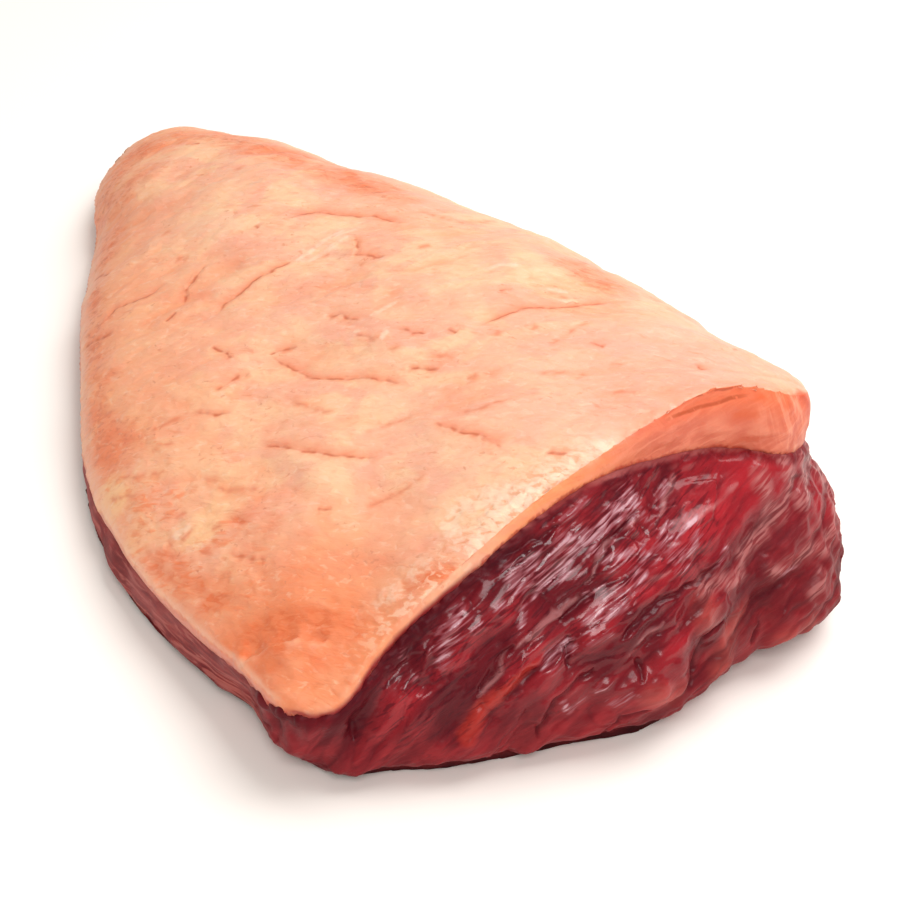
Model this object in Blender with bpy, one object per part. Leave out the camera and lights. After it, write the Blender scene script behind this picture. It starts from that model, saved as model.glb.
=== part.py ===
"""Raw picanha, the top sirloin cap: one muscle under its cap of fat, lying fat side up.

Metres, +Z up, the underside on z = 0. +X points from the narrow tip to the wide cut end,
and +Y to the thick long side. Two solids: meat, and fat_cap, which runs over all of it.
"""

import math

import bmesh
import bpy
import numpy as np

MM = 0.001

# Driving sizes, in millimetres.
GAP = 0.4  # upright gap between the muscle and the fat
MIDDLE = (-6.0, -20.0)  # where the rings of the lattice close
MIDDLE_HEIGHT = 39.0  # top of the muscle there
RISE_TO_CUT = 0.1  # slope of that top along +X
RISE_TO_THICK_SIDE = 0.25  # and along +Y
TURN_DOWN = 2.6  # power of the broad fall of the top towards its edge
LAST_TURN = 9  # power of the last of it, close to the edge
WRAP_DOWN = 10.0  # how far the edge drops where the fat wraps over the side
BELLY_LEVEL = 0.27  # share of the side's height where it stands out furthest
FAT_MIDDLE = 9.0  # thickness of the fat over the middle
FAT_TO_THICK_SIDE = 0.055  # how much thicker it gets for each millimetre towards +Y
FIBRE_RISE = math.radians(36)  # slope of the muscle bundles across the cut end
BUNDLE_WIDTH = 13.0
BUNDLE_DEPTH = 1.7
FAT_SWELL = 0.9  # height of the soft lumps of the fat

# The lattice.
AROUND_CUT = 50  # points round the outline on the cut end
AROUND_REST = 70  # and on the rest of it
FOOT_RINGS = (0.3, 0.62, 0.9)
SIDE_LEVELS = (0.05, 0.13, 0.22, 0.32, 0.43, 0.54, 0.65, 0.77, 0.89, 1.0)
TOP_RINGS = (0.97, 0.9, 0.8, 0.66, 0.5, 0.3)
FAT_RINGS = (0.985, 0.96, 0.92, 0.86, 0.78, 0.68, 0.56, 0.42, 0.22)

# The muscle's top edge, round from the tip by the thin side. Each station holds x, y, the
# height of the shoulder, how far the belly of the side stands out past the edge, how far the
# foot is set in from the belly, the thickness of the fat's edge, and how much the fat wraps
# down over the side there, from 0 for a cut edge to 1.
STATIONS = {
    "tip": (-173, -26, 22, 1, 5, 6, 1),
    "tip_thin": (-160, -41, 19, 1, 4, 5, 1),
    "upper_thin": (-128, -53, 16, 1, 4, 5, 0.9),
    "thin_wrapped": (-88, -70, 15, 1, 4, 5, 0.7),
    "thin_bared": (-48, -83.5, 14, 2.5, 4, 4.5, 0.6),
    "thin_middle": (-18, -91, 13.5, 4.5, 5, 4.5, 0.65),
    "thin_low": (20, -94, 15, 3.5, 6, 4, 0.5),
    "thin_end": (58, -89.5, 16.5, 1, 5, 4, 0.35),
    "thin_tuck": (78, -86, 17.5, -2, 6, 3.5, 0.1),
    "corner": (95, -83, 19, -1, 9, 3, 0),
    "cut_thin": (101.5, -74.5, 20.5, 1, 6, 3.5, 0),
    "cut_rising": (98, -60, 31, 10, 4, 4, 0),
    "cut_lower": (97, -43, 42, 16, 4, 5, 0),
    "cut_middle": (95, -26, 51, 21, 4, 5, 0),
    "cut_high": (93, -9, 56, 26, 4, 6, 0),
    "cut_highest": (91, 8, 55, 25, 7, 11, 0),
    "cut_upper": (90, 24, 52, 21, 10, 16, 0),
    "cut_thick": (92, 41, 46, 16, 12, 17, 0),
    "thick_corner": (86, 49, 44, 12, 13, 16, 0.1),
    "thick_end": (60, 47, 42, 11, 12, 14, 0.3),
    "thick_middle": (22, 43, 41, 10, 11, 12, 0.5),
    "thick_low": (-20, 38, 35, 8, 10, 11, 0.6),
    "thick_upper": (-62, 28, 30, 6, 9, 10, 0.7),
    "thick_wrapped": (-104, 15, 26, 4, 8, 8, 0.9),
    "tip_thick": (-148, -4, 24, 2, 6, 7, 1),
}
X, Y, HEIGHT, BELLY, UNDER, EDGE, WRAP = range(7)

# Long soft hollows of the fat, each from one end to the other in plan, with how deep it
# sinks and its half width.
HOLLOWS = (
    ((-40, -46), (-41, -20), 1.0, 8),
    ((-6, -48), (38, -27), 1.2, 8),
    ((-4, -70), (55, -42), 1.0, 9),
    ((27, -6), (33, 34), 0.9, 8),
    ((-68, -72), (-67, -50), 0.9, 7),
    ((66, -82), (84, -60), 1.9, 9),
)
LIP = ((82, -82), (94, -62), -0.9, 7)  # the low swell between the last hollow and the corner


def outline():
    """Values of the stations at every point of the outline, on a smooth closed curve."""
    knots = np.array(list(STATIONS.values()), float)
    names = list(STATIONS)
    count = len(knots)
    steps = np.hypot(*(np.roll(knots, -1, 0) - knots)[:, :2].T)
    along = np.concatenate([[0], np.cumsum(steps)])
    start = along[names.index("corner")]
    end = along[names.index("thick_corner")]
    cut = np.linspace(start, end, AROUND_CUT, endpoint=False)
    rest = np.linspace(end, start + along[-1], AROUND_REST, endpoint=False)
    slopes = []
    for i in range(count):
        before = (knots[i] - knots[i - 1]) / steps[i - 1]
        after = (knots[(i + 1) % count] - knots[i]) / steps[i]
        slopes.append((before * steps[i] + after * steps[i - 1]) / (steps[i] + steps[i - 1]))
    rows = []
    for distance in np.concatenate([cut, rest]) % along[-1]:
        i = int(np.searchsorted(along, distance, side="right")) - 1
        t = (distance - along[i]) / steps[i]
        j = (i + 1) % count
        rows.append(
            (2 * t**3 - 3 * t**2 + 1) * knots[i]
            + (t**3 - 2 * t**2 + t) * steps[i] * slopes[i]
            + (3 * t**2 - 2 * t**3) * knots[j]
            + (t**3 - t**2) * steps[i] * slopes[j]
        )
    return np.array(rows)


def evened(values, reach):
    """Values round the outline, each the mean of those within its reach."""
    return np.mean([np.roll(values, k) for k in range(-reach, reach + 1)], axis=0)


def edge_height(rows):
    return rows[:, HEIGHT] - WRAP_DOWN * rows[:, WRAP]


def outward(rows):
    """Level unit vectors square to the outline at each of its points."""
    ahead = (np.roll(rows, -1, 0) - np.roll(rows, 1, 0))[:, :2]
    ahead /= np.linalg.norm(ahead, axis=1)[:, None]
    square = np.stack([ahead[:, 1], -ahead[:, 0], np.zeros(len(ahead))], 1)
    for _ in range(2):
        square = square + 0.5 * (np.roll(square, 1, 0) + np.roll(square, -1, 0))
        square /= np.linalg.norm(square, axis=1)[:, None]
    return square


def rise(value, low, high):
    """0 below low, 1 above high, and a smooth step between them."""
    t = np.clip((value - low) / (high - low), 0, 1)
    return t * t * (3 - 2 * t)


def trough(x, y, mark):
    """Depth at x, y of a hollow that runs between two places and fades out past its ends."""
    start, end, depth, width = mark
    start = np.array(start, float)
    run = np.array(end, float) - start
    length = np.hypot(*run)
    along = ((x - start[0]) * run[0] + (y - start[1]) * run[1]) / length
    across = ((x - start[0]) * run[1] - (y - start[1]) * run[0]) / length
    past = np.maximum(0, np.abs(along - length / 2) - length / 2)
    return depth * np.exp(-(across**2 + past**2) / width**2)


def fat_swells(x, y):
    """Height that the soft lumps and hollows of the fat add to its smooth top."""
    lumps = np.sin(x / 13 + 1.7 * np.sin(y / 31)) * np.sin(y / 9 + 0.9 * np.sin(x / 24))
    lumps = lumps + 0.6 * np.sin((x + 0.7 * y) / 21 + 0.6)
    sunk = sum(trough(x, y, mark) for mark in HOLLOWS + (LIP,))
    return FAT_SWELL * lumps - sunk


def bundles(x, y, z):
    """How far the muscle's bundles stand out of its side: lobes with a groove between."""
    across = z * math.cos(FIBRE_RISE) - y * math.sin(FIBRE_RISE)
    along = y * math.cos(FIBRE_RISE) + z * math.sin(FIBRE_RISE)
    lobes = np.abs(np.sin(math.pi * across / BUNDLE_WIDTH + 0.7 * np.sin(along / 17)))
    folds = np.sin(z / 3.1 + 0.8 * np.sin(x / 19)) * np.sin(x / 27)
    on_cut = rise(x, 72, 92)
    notch = trough(y, z, ((4, 19), (21, 21), 2.6, 4))
    return on_cut * (BUNDLE_DEPTH * (lobes - 0.65) - notch) + (1 - on_cut) * 0.6 * folds


def side_offset(rows, level):
    """How far the side stands out from its top edge at a share of the edge's height."""
    over = np.maximum(0, level - BELLY_LEVEL) / (1 - BELLY_LEVEL)
    under = np.maximum(0, BELLY_LEVEL - level) / BELLY_LEVEL
    return rows[:, BELLY] * (1 - over**1.8) - rows[:, UNDER] * under**2.2


def side_ring(rows, level):
    offset = side_offset(rows, level)
    smooth = rows[:, :2] + outward(rows)[:, :2] * offset[:, None]
    z = edge_height(rows) * level
    hold = rise(level, 0, 0.12) * (1 - level**6)
    offset = offset + hold * bundles(smooth[:, 0], smooth[:, 1], z)
    xy = rows[:, :2] + outward(rows)[:, :2] * offset[:, None]
    return np.column_stack([xy, z])


def plane(xy):
    return MIDDLE_HEIGHT + (xy - MIDDLE) @ (RISE_TO_CUT, RISE_TO_THICK_SIDE)


def top_ring(rows, t):
    """Points of the muscle's top at t of the way from the middle to the edge."""
    xy = np.array(MIDDLE) + (rows[:, :2] - MIDDLE) * t
    turn = rows[:, HEIGHT] - plane(rows[:, :2])
    broad = evened(evened(turn, 4), 3)
    last = edge_height(rows) - plane(rows[:, :2]) - broad
    return np.column_stack([xy, plane(xy) + broad * t**TURN_DOWN + last * t**LAST_TURN])


def lattice(rings, low, high, turned):
    """Triangles between rings listed from the bottom up, closed by a point at each end.

    turned picks the other diagonal, so that the fat's underside matches the muscle's top.
    """
    size = len(rings[0])
    points = np.vstack(rings + [[low], [high]])
    faces = []
    for k in range(len(rings) - 1):
        for i in range(size):
            j = (i + 1) % size
            a, b, c, d = k * size + i, k * size + j, (k + 1) * size + j, (k + 1) * size + i
            faces += [(a, b, d), (b, c, d)] if turned else [(a, b, c), (a, c, d)]
    final = (len(rings) - 1) * size
    for i in range(size):
        j = (i + 1) % size
        faces.append((len(points) - 2, j, i))
        faces.append((len(points) - 1, final + i, final + j))
    return points, faces


def muscle():
    rows = outline()
    foot = side_ring(rows, 0.0)
    centre = np.array([*MIDDLE, 0.0])
    rings = [centre + (foot - centre) * share for share in FOOT_RINGS] + [foot]
    rings += [side_ring(rows, level) for level in SIDE_LEVELS]
    rings += [top_ring(rows, t) for t in TOP_RINGS]
    return lattice(rings, centre, (*MIDDLE, MIDDLE_HEIGHT), False)


def fat():
    rows = outline()
    aside = outward(rows)
    up = np.array([0.0, 0.0, 1.0])
    wrap = rows[:, WRAP][:, None]
    edge = rows[:, EDGE][:, None]
    rings = []
    for t in TOP_RINGS[::-1] + (1.0,):
        rings.append(top_ring(rows, t) + up * GAP + aside * wrap * GAP * t**20)
    lean = aside * edge * (0.9 * wrap - 0.12 * (1 - wrap))
    height = up * edge * (1 - 0.6 * wrap)
    bottom = rings[-1]
    for share in (0.3, 0.7):
        rings.append(bottom + (lean + height) * share + aside * edge * 0.06)
    for t in (1.0,) + FAT_RINGS:
        here = top_ring(rows, t)
        middle = FAT_MIDDLE + FAT_TO_THICK_SIDE * (here[:, 1] - MIDDLE[1])
        thick = middle + (rows[:, EDGE] - middle) * t**5
        thick = thick + fat_swells(here[:, 0], here[:, 1]) * (1 - 0.8 * t**8)
        lift = thick[:, None] - 0.6 * wrap * edge * t**40
        rings.append(here + up * lift + lean * t**8)
    top = MIDDLE_HEIGHT + FAT_MIDDLE + fat_swells(*MIDDLE)
    return lattice(rings, (*MIDDLE, MIDDLE_HEIGHT + GAP), (*MIDDLE, top), True)


# Build


def material(name, colour, roughness, subsurface):
    made = bpy.data.materials.new(name)
    made.use_nodes = True
    shader = made.node_tree.nodes["Principled BSDF"]
    shader.inputs["Base Color"].default_value = (*colour, 1.0)
    shader.inputs["Roughness"].default_value = roughness
    shader.inputs["Subsurface Weight"].default_value = subsurface
    shader.inputs["Subsurface Scale"].default_value = 0.003
    made.diffuse_color = (*colour, 1.0)
    return made


def piece(name, points, faces, finish):
    mesh = bpy.data.meshes.new(name)
    mesh.from_pydata((points * MM).tolist(), [], faces)
    form = bmesh.new()
    form.from_mesh(mesh)
    bmesh.ops.recalc_face_normals(form, faces=form.faces)
    form.to_mesh(mesh)
    form.free()
    mesh.shade_smooth()
    mesh.materials.append(finish)
    made = bpy.data.objects.new(name, mesh)
    bpy.context.scene.collection.objects.link(made)
    return made


def main():
    for old in list(bpy.data.objects):
        bpy.data.objects.remove(old, do_unlink=True)
    flesh, flesh_faces = muscle()
    cap, cap_faces = fat()
    both = np.vstack([flesh, cap])
    centre = (both.min(0) + both.max(0)) / 2 * (1, 1, 0)
    piece("meat", flesh - centre, flesh_faces, material("raw_meat", (0.30, 0.035, 0.04), 0.3, 0.2))
    piece("fat_cap", cap - centre, cap_faces, material("raw_fat", (0.90, 0.60, 0.42), 0.45, 0.3))


main()
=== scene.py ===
# %% [markdown]
# # Raw picanha
# A picanha is the cap of the rump: one flat, tapering muscle that keeps its own layer of
# fat. It lies here fat side up, with the wide end freshly cut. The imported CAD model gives
# its true form and size, and stays as it is. This lesson lays two finished pieces over it,
# the wet red muscle and the soft fat, then a floor, lights and a camera.

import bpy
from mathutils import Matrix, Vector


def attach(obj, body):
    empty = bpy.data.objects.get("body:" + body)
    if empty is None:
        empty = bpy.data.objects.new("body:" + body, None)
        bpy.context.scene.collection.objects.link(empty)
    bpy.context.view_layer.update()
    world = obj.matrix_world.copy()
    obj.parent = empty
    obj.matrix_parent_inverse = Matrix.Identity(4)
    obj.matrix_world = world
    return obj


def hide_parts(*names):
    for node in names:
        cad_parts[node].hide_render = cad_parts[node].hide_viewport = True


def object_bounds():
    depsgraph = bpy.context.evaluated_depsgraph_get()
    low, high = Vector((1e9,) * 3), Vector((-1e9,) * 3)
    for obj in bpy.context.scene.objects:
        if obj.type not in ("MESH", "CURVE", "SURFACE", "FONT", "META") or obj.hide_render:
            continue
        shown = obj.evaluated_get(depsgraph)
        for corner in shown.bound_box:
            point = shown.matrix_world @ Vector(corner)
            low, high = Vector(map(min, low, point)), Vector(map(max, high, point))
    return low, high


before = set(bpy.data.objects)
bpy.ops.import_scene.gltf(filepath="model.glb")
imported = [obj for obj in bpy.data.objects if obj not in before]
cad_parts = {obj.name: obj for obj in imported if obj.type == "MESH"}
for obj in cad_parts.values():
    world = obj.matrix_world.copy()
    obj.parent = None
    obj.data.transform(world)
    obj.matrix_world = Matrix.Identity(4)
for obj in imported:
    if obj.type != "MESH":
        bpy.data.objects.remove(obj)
cad_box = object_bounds()
print("nodes:", sorted(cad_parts))

# %% Modules, and the length that everything is thought of in
import math
from itertools import product

import bmesh
import bpy
import numpy as np
from mathutils import Vector
from mathutils.bvhtree import BVHTree
from mathutils.kdtree import KDTree

MM = 0.001
MERGE = 0.01 * MM  # points that are nearer than this are one point
lowest, highest = (np.array(corner) / MM for corner in cad_box)
print("CAD box in mm:", lowest.round(1), highest.round(1))

# %% [markdown]
# ## The camera
# Food like this is shot with a portrait lens, from a little more than a third of the way up
# towards straight overhead, so that the fat is seen whole and the cut end still faces the
# lens. The aim is a point on the floor a little off the middle of the cut.

# %% Camera
AIM = Vector((29.6, 18.4, 0)) * MM
HEADING = math.radians(64.8)
RAISED = math.radians(36)
FAR = 530 * MM
FOCAL_LENGTH = 80

ahead = Vector((
    -math.sin(HEADING) * math.cos(RAISED),
    math.cos(HEADING) * math.cos(RAISED),
    -math.sin(RAISED),
))
lens = bpy.data.cameras.new("lens")
lens.lens = FOCAL_LENGTH
lens.clip_start = 0.01
camera = bpy.data.objects.new("camera", lens)
camera.location = AIM - ahead * FAR
camera.rotation_euler = ahead.to_track_quat("-Z", "Y").to_euler()
bpy.context.scene.collection.objects.link(camera)
bpy.context.scene.camera = camera
print("camera at", [round(v, 3) for v in camera.location])

# %% [markdown]
# ## From a solid to a skin that can be carved
# The CAD solids hold the form in a few thousand long triangles, which catch the light in
# flat facets. Real flesh has no facets, and its detail is finer than a millimetre. So each
# solid is copied and its loose triangles are merged. A voxel remesh gives even cells, and a
# smoothing pass melts the facets. A remesh also turns a sharp edge into little stairs, so
# the points beside one are first drawn back onto it, and melted less. The cells that show
# are then cut smaller and the hidden ones are thinned out, which spends the triangles where
# they are seen.
#
# Sculpting by hand would give the same forms, but wouldn't come out alike twice. So each
# point is moved along its own normal by sums of noise, and by strokes with a set path.


# %% Pick out one object, with nothing else selected
def only(piece):
    if bpy.context.mode != "OBJECT":
        bpy.ops.object.mode_set(mode="OBJECT")
    bpy.ops.object.select_all(action="DESELECT")
    piece.hide_set(False)
    piece.select_set(True)
    bpy.context.view_layer.objects.active = piece


# %% Add a modifier and apply it at once
def finish_with(piece, kind, **settings):
    only(piece)
    modifier = piece.modifiers.new(kind.lower(), kind)
    for name, value in settings.items():
        setattr(modifier, name, value)
    bpy.ops.object.modifier_apply(modifier=modifier.name)


# %% Points and normals of a mesh, as arrays in millimetres
def points_of(piece):
    flat = np.empty(len(piece.data.vertices) * 3, np.float32)
    piece.data.vertices.foreach_get("co", flat)
    return flat.reshape(-1, 3).astype(float) / MM


def normals_of(piece):
    flat = np.empty(len(piece.data.vertices) * 3, np.float32)
    piece.data.vertices.foreach_get("normal", flat)
    return flat.reshape(-1, 3).astype(float)


def move_points(piece, points):
    piece.data.vertices.foreach_set("co", (points * MM).astype(np.float32).ravel())
    piece.data.update()


def paint(piece, **layers):
    for name, values in layers.items():
        layer = piece.data.attributes.new(name, "FLOAT", "POINT")
        layer.data.foreach_set("value", values.astype(np.float32))
    print(piece.name, "painted with", ", ".join(layers))


def count_of(piece):
    piece.data.calc_loop_triangles()
    return len(piece.data.loop_triangles)


# %% Keep a named share of the points as a vertex group
def group_points(piece, name, weights):
    group = piece.vertex_groups.new(name=name)
    steps = np.round(weights * 10).astype(int)
    for step in range(1, 11):
        group.add(np.nonzero(steps == step)[0].tolist(), step / 10, "REPLACE")


# %% Cut the faces whose points are all wanted into smaller ones
def refine(piece, wanted, cuts):
    only(piece)
    mesh = piece.data
    keep = wanted(points_of(piece), normals_of(piece))
    ends = np.empty(len(mesh.loops), np.int32)
    mesh.loops.foreach_get("vertex_index", ends)
    starts = np.empty(len(mesh.polygons), np.int32)
    mesh.polygons.foreach_get("loop_start", starts)
    chosen = np.minimum.reduceat(keep[ends].astype(int), starts).astype(bool)
    mesh.vertices.foreach_set("select", np.zeros(len(keep), bool))
    mesh.edges.foreach_set("select", np.zeros(len(mesh.edges), bool))
    mesh.polygons.foreach_set("select", chosen)
    bpy.ops.object.mode_set(mode="EDIT")
    bpy.ops.mesh.select_mode(type="FACE")
    bpy.ops.mesh.subdivide(number_cuts=cuts, smoothness=0)
    bpy.ops.object.mode_set(mode="OBJECT")
    print(piece.name, "refined", chosen.sum(), "faces, now", count_of(piece), "triangles")


# %% Thin out what nobody sees, well away from what shows
def thin_out(piece, hidden, share):
    shown = ~hidden(points_of(piece), normals_of(piece))
    ends = np.empty(len(piece.data.edges) * 2, np.int32)
    piece.data.edges.foreach_get("vertices", ends)
    first, second = ends.reshape(-1, 2).T
    for _ in range(5):
        touched = shown.copy()
        touched[first] |= shown[second]
        touched[second] |= shown[first]
        shown = touched
    group_points(piece, "hidden", (~shown).astype(float))
    finish_with(piece, "DECIMATE", ratio=share, vertex_group="hidden", vertex_group_factor=10)
    piece.vertex_groups.clear()
    print(piece.name, "thinned to", count_of(piece), "triangles")


# %% Copy a CAD node into an even skin
def skin_over(node, name, cell):
    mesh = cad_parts[node].data.copy()
    mesh.name = name
    mesh.materials.clear()
    piece = bpy.data.objects.new(name, mesh)
    bpy.context.scene.collection.objects.link(piece)
    only(piece)
    bpy.ops.object.mode_set(mode="EDIT")
    bpy.ops.mesh.select_all(action="SELECT")
    bpy.ops.mesh.remove_doubles(threshold=MERGE)
    bpy.ops.object.mode_set(mode="OBJECT")
    finish_with(piece, "REMESH", mode="VOXEL", voxel_size=cell * MM)
    bpy.ops.object.shade_smooth()
    print(name, "starts with", count_of(piece), "triangles")
    return piece


# %% Draw the points beside a hard edge of the CAD solid onto that edge
BEAD_GAP = 0.2  # mm between the places along an edge that points can be drawn to


def sharpen(piece, node, turn, reach):
    """Mends the stairs along hard edges, and returns how far from them each point was."""
    solid = bmesh.new()
    solid.from_mesh(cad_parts[node].data)
    bmesh.ops.remove_doubles(solid, verts=solid.verts, dist=MERGE)
    beads = []
    for edge in solid.edges:
        if len(edge.link_faces) == 2 and edge.calc_face_angle() > math.radians(turn):
            first, second = (v.co for v in edge.verts)
            steps = 1 + int(edge.calc_length() / MM / BEAD_GAP)
            beads += [first.lerp(second, step / steps) for step in range(steps + 1)]
    solid.free()
    tree = KDTree(len(beads))
    for number, bead in enumerate(beads):
        tree.insert(bead, number)
    tree.balance()
    points = points_of(piece)
    found = [tree.find(Vector(p * MM)) for p in points]
    far = np.array([f[2] for f in found]) / MM
    onto = np.array([f[0] for f in found]) / MM
    pull = rise(-far, -reach, -0.6 * reach)[:, None]
    move_points(piece, points + pull * (onto - points))
    print(piece.name, "has", int((far < reach).sum()), "points drawn onto hard edges")
    return far


# %% Melt the facets, but less where an edge has to stay crisp
def melt(piece, rounds, crisp):
    group_points(piece, "soft", 1 - 0.8 * crisp)
    finish_with(piece, "SMOOTH", factor=0.5, iterations=rounds, vertex_group="soft")
    piece.vertex_groups.clear()


# %% [markdown]
# ## Patterns that can be stretched
# Muscle is made of bundles, and bundles of fibres, all long and thin and running one way.
# A smooth random field, squeezed across that way and stretched along it, gives them. Folded
# at zero, it makes rounded lobes with a sharp groove between, as bundles have. Scattered
# seeds, each owning the space nearest to it, give the short blunt ends where the knife met
# the bundles at a slant. Both are worked out from whole-number cell addresses, so they're
# the same at every run.


# %% Three random numbers from 0 to 1 for each whole-number address
def scatter(at, seed):
    mixed = at[:, 0] * 73856093 ^ at[:, 1] * 19349663 ^ at[:, 2] * 83492791 ^ seed * 2654435
    drawn = []
    for turn in (977, 4391, 9973):
        mixed = (mixed * 1103515245 + 12345 + turn) & 0x7FFFFFFF
        mixed = mixed ^ (mixed >> 13)
        drawn.append(((mixed >> 7) & 0xFFFF) / 65535)
    return np.stack(drawn, 1)


# %% Smooth noise from -1 to 1
def noise(cells, seed=0):
    low = np.floor(cells).astype(np.int64)
    part = cells - low
    ease = part**3 * (part * (part * 6 - 15) + 10)
    total = np.zeros(len(cells))
    for corner in product((0, 1), repeat=3):
        slope = scatter(low + corner, seed) * 2 - 1
        share = np.prod(np.where(np.array(corner) == 1, ease, 1 - ease), axis=1)
        total += share * ((part - corner) * slope).sum(1)
    return np.clip(total * 1.7, -1, 1)


# %% Scattered seeds: the gap to the border, a number for the nearest seed, and the way to it
FAR_OFF = 9.0  # in cells: no point is so far from a seed


def cobbles(cells, seed=0):
    low = np.floor(cells).astype(np.int64)
    near = np.full(len(cells), FAR_OFF)
    second = near.copy()
    number = np.zeros((len(cells), 3))
    away = np.zeros((len(cells), 3))
    for step in product((-1, 0, 1), repeat=3):
        drawn = scatter(low + step, seed)
        gap = cells - (low + step + 0.15 + 0.7 * drawn)
        far = np.sqrt((gap**2).sum(1))
        nearer = far < near
        second = np.where(nearer, near, np.minimum(second, far))
        near = np.where(nearer, far, near)
        number[nearer] = drawn[nearer]
        away[nearer] = gap[nearer]
    return second - near, number, away


# %% Several noises side by side, to push points about with
def wander(points, size, seeds):
    return np.stack([noise(points / size, seed) for seed in seeds], 1)


# %% Smooth steps from 0 up to 1, and from 1 down to 0
def limit(values):
    return np.clip(values, 0, 1)


def rise(value, low, high):
    t = limit((value - low) / (high - low))
    return t * t * (3 - 2 * t)


def fall(value, low, high):
    return rise(-value, -high, -low)


# %% The distance to a solid, and the distance to a drawn path and the way along it
def distance_to(node, points):
    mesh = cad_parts[node].data
    corners = [v.co.copy() for v in mesh.vertices]
    tree = BVHTree.FromPolygons(corners, [tuple(p.vertices) for p in mesh.polygons])
    return np.array([tree.find_nearest(Vector(p * MM))[3] for p in points]) / MM


def follow(points, path):
    path = np.array(path, float)
    at = points[:, : path.shape[1]]
    lengths = np.linalg.norm(np.diff(path, axis=0), axis=1)
    nearest = np.full(len(at), 1e9)
    along = np.zeros(len(at))
    passed = 0.0
    for start, end, length in zip(path[:-1], path[1:], lengths):
        way = (end - start) / length
        run = np.clip((at - start) @ way, 0, length)
        far = np.linalg.norm(at - start - run[:, None] * way, axis=1)
        along = np.where(far < nearest, (passed + run) / lengths.sum(), along)
        nearest = np.minimum(nearest, far)
        passed += length
    return nearest, along


# %% The side of the nearest of many paths that a point is on, and how strong that path is
NOT_FELT = 9.0  # mm: a path further off than this leaves no mark


def side_gap(points, paths):
    """Distance with a sign, a strength that fades at both ends of a path, and its number."""
    gap = np.full(len(points), NOT_FELT)
    power = np.zeros(len(points))
    number = np.zeros(len(points))
    for count, path in enumerate(paths):
        legs = np.array(path, float)
        far, along = follow(points, path)
        side = np.zeros(len(points))
        closest = np.full(len(points), 1e9)
        for start, end in zip(legs[:-1], legs[1:]):
            length = np.linalg.norm(end - start)
            way = (end - start) / length
            off = points[:, :2] - start
            gone = np.linalg.norm(off - np.clip(off @ way, 0, length)[:, None] * way, axis=1)
            side = np.where(gone < closest, way[0] * off[:, 1] - way[1] * off[:, 0], side)
            closest = np.minimum(closest, gone)
        nearer = far < np.abs(gap)
        gap = np.where(nearer, np.sign(side) * far, gap)
        power = np.where(nearer, rise(4 * along * (1 - along), 0, 0.6), power)
        number = np.where(nearer, count, number)
    return gap, power, number


# %% A line that swells in the middle and fades at both ends, and a spot that is soft all round
def drawn_line(points, path, width):
    far, along = follow(points, path)
    swell = np.sqrt(np.clip(4 * along * (1 - along), 0, 1))
    return rise(-far, -width * (0.35 + 0.65 * swell), 0) * rise(swell, 0, 0.5)


def soft_spot(points, path, width):
    return rise(-follow(points, path)[0], -width, 0)


# %% [markdown]
# ## The muscle
# Its cut end leans back and bulges, with the bundles running up across it towards the
# thick side. The flanks are quieter: there the muscle still wears its own thin membrane.
# Noise alone would give the right kind of surface, but no bundle in its right place. So the
# marks that the eye goes to are strokes at listed places: the orange sinew, proud bundles
# painted brighter as lit, dim hollows and the deep lines between bundles painted darker as
# shade, silver skin, and the pools of juice with painted highlights.

# %% Muscle skin, with the finest cells on the cut end
FLESH_CELL = 1.35
CUT_FROM = 112.0  # x past which a side belongs to the cut end

flesh = skin_over("meat", "flesh", FLESH_CELL)
melt(flesh, 10, 0.5 * rise(-distance_to("fat_cap", points_of(flesh)), -4, -1.5))


def on_cut(points, normals):
    return (points[:, 0] > CUT_FROM) & (np.abs(normals[:, 2] - 0.15) < 0.77)


def on_thin_flank(points, normals):
    side = (normals[:, 1] < -0.35) & (points[:, 2] > 0.8)
    return side & (points[:, 0] > -25) & (points[:, 0] <= CUT_FROM)


def not_seen(points, normals):
    return (np.abs(normals[:, 2]) > 0.9) & ~on_cut(points, normals)


thin_out(flesh, not_seen, 0.34)
refine(flesh, on_cut, 2)
refine(flesh, on_thin_flank, 1)
finish_with(flesh, "SMOOTH", factor=0.5, iterations=3)

# %% Directions on the cut end
ALONG = np.array([-0.21, 0.9, 0.39])
FACING = np.array([0.88, 0.02, 0.47])
ALONG /= np.linalg.norm(ALONG)
ACROSS = np.cross(FACING, ALONG)
ACROSS /= np.linalg.norm(ACROSS)
FACING = np.cross(ALONG, ACROSS)


def in_fibre(points, along, across, depth):
    return np.stack([points @ ALONG / along, points @ ACROSS / across, points @ FACING / depth], 1)


# %% Strokes on the cut end at listed places, as y and z in mm
SINEW = [(-30, 13), (-28, 16), (-26, 19), (-21, 22), (-15, 26), (-10, 29)]
SMOOTH_BUNDLE = [(25, 39), (38, 41), (51, 45)]
# Where the knife left the most small facets
BUSY = [(-42, 24), (-14, 42), (4, 45), (22, 48)]
# Bundles that stand proud, painted a brighter red as lit
RED_PATCHES = [
    [(-49, 11), (-45, 15), (-42, 19)], [(-41, 14), (-36, 21)], [(-59, 11), (-55, 8)],
    [(-66, 12), (-62, 9)], [(-35, 11), (-27, 12)], [(-9, 8), (0, 7)], [(-30, 29), (-25, 35)],
    [(13, 42), (0, 30)], [(25, 39), (38, 41), (51, 45)], [(60, 32), (67, 32)],
    [(54, 14), (65, 13)], [(40, 10), (48, 12)], [(13, 16), (22, 15)], [(-21, 29), (-16, 34)],
    [(-18, 20), (-13, 21)],
]
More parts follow.
